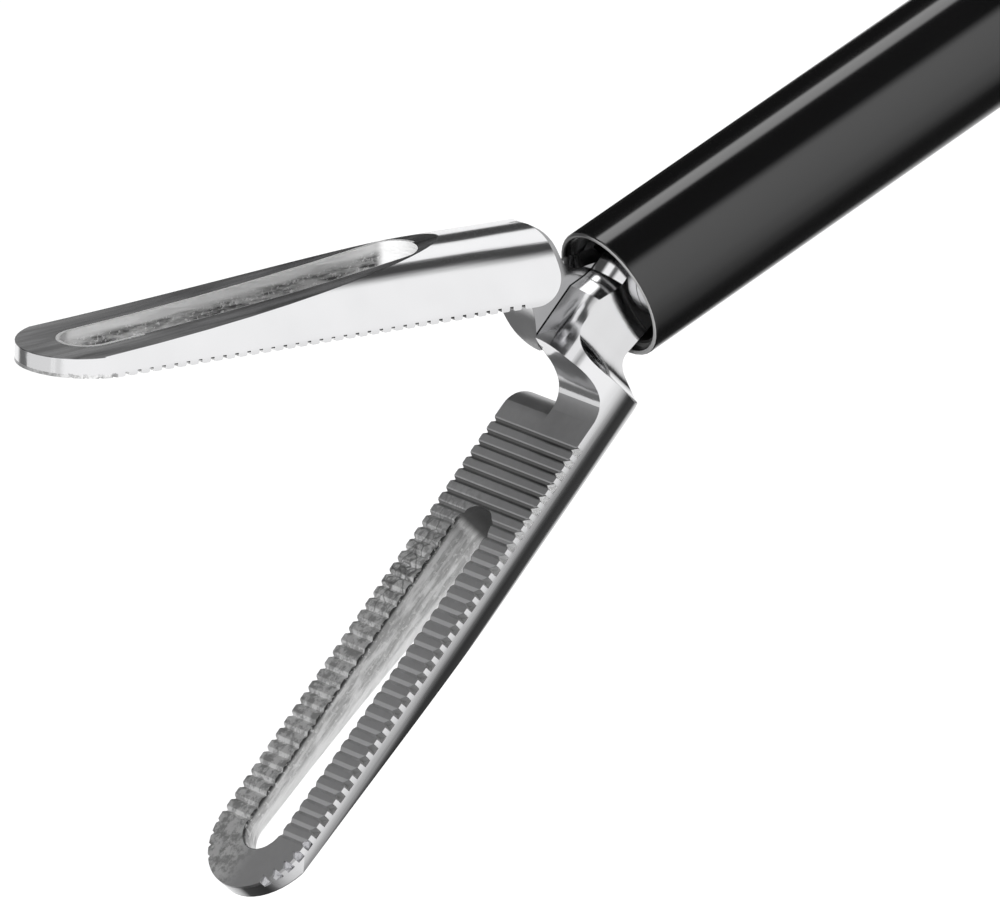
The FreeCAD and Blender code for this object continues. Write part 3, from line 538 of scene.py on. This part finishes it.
def finishes():
    jaw, lines, grain = jaw_finish_and_painted_light(), metal_grain(), moulded_grain()
    # The upper jaw's window walls are painted dark and the lower jaw's light: painted shade and painted
    # light on the same steel
    put(jaw_steel("upper_jaw_steel", jaw, side=1.0, wall_low=0.10, wall_high=0.62, window_end_light_shade=0.97,
                  dull_nose_and_shade=0.0),
        "upper_jaw")
    put(jaw_steel("lower_jaw_steel", jaw, side=-1.0, wall_low=0.50, wall_high=0.85, window_end_light_shade=0.06,
                  dull_nose_and_shade=1.0),
        "lower_jaw")
    put(metal("tube_steel", lines, DRAWN, dark=(0.64, 0.64, 0.65), bright=(0.80, 0.80, 0.81),
              smoothest=0.16),
        "jaw_clevis", "jaw_pivot_pin", "drive_pin", "rod_blade")
    put(metal("rod_steel", lines, DRAWN, dark=(0.54, 0.54, 0.55), bright=(0.68, 0.68, 0.69),
              smoothest=0.22),
        "push_rod", "rod_ball", "bearing_hub", "electrode_post", "lever_axle", "button_spring")
    put(metal("screw_steel", lines, DRAWN, dark=(0.36, 0.36, 0.37), bright=(0.47, 0.47, 0.48),
              smoothest=0.26),
        "shell_screws")
    put(metal("turned_brass", lines, TURNED, dark=(0.60, 0.44, 0.19), bright=(0.80, 0.63, 0.32),
              smoothest=0.22),
        "contact_block")
    put(bored_tube(lines), "shaft_tube")
    put(sleeve_black(), "insulation_sleeve")
    put(moulded("handle_black", grain, dark=(0.012, 0.012, 0.013), light=(0.022, 0.022, 0.023),
                smoothest=0.38, grain=2600.0, depth=0.00004),
        "handle_right", "handle_left", "thumb_lever", "nose_cap")
    put(moulded("knob_grey", grain, dark=(0.10, 0.105, 0.11), light=(0.14, 0.145, 0.15),
                smoothest=0.36, grain=2200.0, depth=0.00004),
        "rotation_knob", "post_gland", "release_button")
    put(moulded("soft_silicone", grain, dark=(0.05, 0.05, 0.052), light=(0.075, 0.075, 0.078),
                smoothest=0.55, grain=1500.0, depth=0.00006),
        "finger_ring_liner", "thumb_ring_liner", "port_cap", "rod_seal")
    put(moulded("liner_white", grain, dark=(0.70, 0.70, 0.68), light=(0.82, 0.82, 0.80),
                smoothest=0.40, grain=1200.0, depth=0.00002),
        "rod_liner")


# ---- The studio

def floor():
    low = START_BOX[0][2]
    bpy.ops.mesh.primitive_plane_add(size=FLOOR_SIZE, location=(0, 0, low))
    plane = bpy.context.object
    plane.name = "floor"
    mat, tree, shader, point = new_material("floor_white")
    shader.inputs["Base Color"].default_value = (0.93, 0.93, 0.93, 1.0)
    shader.inputs["Roughness"].default_value = 0.8
    shader.inputs["Specular IOR Level"].default_value = 0.2
    shader.inputs["Emission Color"].default_value = (1, 1, 1, 1)
    path = add(tree, "ShaderNodeLightPath")
    feed(tree, times(tree, path.outputs["Is Camera Ray"], FLOOR_LIFT), shader.inputs["Emission Strength"])
    x, y = parts_of(tree, point)[:2]
    steepness = blend_value(tree, eased(tree, y, 0.0, -0.03), *SLANT_STEEPNESS)
    slant = times(tree, steepness, minus(tree, x, SLANT_START))
    least, most = SLANT_RANGE
    slant = larger(tree, math_step(tree, "MINIMUM", slant, most), least)
    across = plus(tree, math_step(tree, "DIVIDE", plus(tree, y, slant), 2 * FLOOR_REACH), 0.5)
    greys = ramp(tree, across, [(0.5 + at / (2 * FLOOR_REACH), grey) for at, grey in FLOOR_GREYS])
    near, middle, wide = (minus(tree, x, times(tree, y, ratio)) for ratio in FAR_BAND)
    strip = times(tree, eased(tree, middle, FAR_SOFT, -FAR_SOFT), eased(tree, wide, -WIDE_SOFT, WIDE_SOFT))
    far = larger(tree, strip, eased(tree, near, -FAR_SOFT, FAR_SOFT))
    far = times(tree, far, eased(tree, y, *FAR_START))
    card = add(tree, "ShaderNodeEmission")
    feed(tree, larger(tree, greys, far), card.inputs["Color"])
    shade = times(tree, eased(tree, x, *SHADE_X), eased(tree, y, *SHADE_Y))
    feed(tree, minus(tree, 1.0, times(tree, shade, FLOOR_SHADE)), card.inputs["Strength"])
    mix = add(tree, "ShaderNodeMixShader")
    feed(tree, path.outputs["Is Glossy Ray"], mix.inputs[0])
    feed(tree, shader.outputs[0], mix.inputs[1])
    feed(tree, card.outputs[0], mix.inputs[2])
    feed(tree, mix.outputs[0], tree.nodes["Material Output"].inputs["Surface"])
    plane.data.materials.append(mat)


def mirrored_room(tree):
    """The grey that polished steel mirrors in each direction above the floor."""
    x, y, z = parts_of(tree, add(tree, "ShaderNodeTexCoord").outputs["Generated"])
    toward = plus(tree, minus(tree, y, z), times(tree, x, WALL_LEAN))
    pale_wall = eased(tree, toward, *WALL_EDGE)
    around = math_step(tree, "ARCTAN2", z, y)
    off = size_of(tree, minus(tree, around, LAMP_ANGLE))
    spread = plus(tree, times(tree, x, -LAMP_FLARE), LAMP_HALF)
    level = blend_value(tree, eased(tree, x, *LAMP_STEP), *LAMP_LEVELS)
    lamp = times(tree, eased(tree, minus(tree, spread, off), -LAMP_SOFT, LAMP_SOFT), level)
    dim = BACK_GREY
    for amount, start, end in (BACK_RISE, BACK_END):
        dim = plus(tree, times(tree, eased(tree, x, start, end), amount), dim)
    skyline = times(tree, eased(tree, z, *SKYLINE_Z), eased(tree, x, *SKYLINE_X))
    behind = larger(tree, larger(tree, lamp, dim), skyline)
    turn = math_step(tree, "DIVIDE", larger(tree, around, 0.0), math.pi)
    ahead = ramp(tree, turn, [(degrees / 180.0, grey) for degrees, grey in FRONT_GREYS])
    end_wall = times(tree, eased(tree, x, *END_WALL_X), eased(tree, z, *END_WALL_Z))
    ahead = larger(tree, ahead, times(tree, end_wall, END_WALL))
    return larger(tree, pale_wall, blend_value(tree, eased(tree, x, *FRONT_EDGE), behind, ahead))


def surroundings():
    world = bpy.data.worlds.new("studio")
    bpy.context.scene.world = world
    world.use_nodes = True
    tree = world.node_tree
    tree.nodes.clear()
    out = add(tree, "ShaderNodeOutputWorld")
    path = add(tree, "ShaderNodeLightPath")
    seen = blend(tree, path.outputs["Is Glossy Ray"], SOFT_FILL, mirrored_room(tree))
    fill = add(tree, "ShaderNodeBackground")
    feed(tree, seen, fill.inputs["Color"])
    white = add(tree, "ShaderNodeBackground")
    white.inputs["Color"].default_value = (1, 1, 1, 1)
    mix = add(tree, "ShaderNodeMixShader")
    feed(tree, path.outputs["Is Camera Ray"], mix.inputs[0])
    feed(tree, fill.outputs[0], mix.inputs[1])
    feed(tree, white.outputs[0], mix.inputs[2])
    feed(tree, mix.outputs[0], out.inputs["Surface"])


def soft_box(name, at, aim, size, power):
    data = bpy.data.lights.new(name, "AREA")
    data.shape = "RECTANGLE"
    data.size, data.size_y = size
    data.energy = power
    lamp = bpy.data.objects.new(name, data)
    bpy.context.scene.collection.objects.link(lamp)
    lamp.location = at
    lamp.visible_glossy = False
    lamp.rotation_euler = (Vector(aim) - Vector(at)).to_track_quat("-Z", "Y").to_euler()


def camera():
    across = (PICTURE_CENTRE[0] - MOUTH_PIXEL[0]) / PIXELS_PER_METRE
    down = (PICTURE_CENTRE[1] - MOUTH_PIXEL[1]) / PIXELS_PER_METRE
    place = SHOT_BACK * SHOT_DISTANCE + SHOT_RIGHT * across - SHOT_UP * down
    data = bpy.data.cameras.new("shot")
    data.sensor_width = SENSOR
    data.lens = SENSOR * SHOT_DISTANCE * PIXELS_PER_METRE / PICTURE_WIDTH
    data.clip_start = 0.05
    data.clip_end = 20.0
    shot = bpy.data.objects.new("shot", data)
    bpy.context.scene.collection.objects.link(shot)
    axes = Matrix((SHOT_RIGHT, SHOT_UP, SHOT_BACK)).transposed().to_4x4()
    shot.matrix_world = Matrix.Translation(place) @ axes
    bpy.context.scene.camera = shot


def main():
    finishes()
    floor()
    surroundings()
    soft_box("key", (0.2, 0.7, 0.8), (0, 0, 0), (0.6, 0.6), 9.0)
    camera()
    bpy.context.scene.view_settings.view_transform = "Standard"


main()
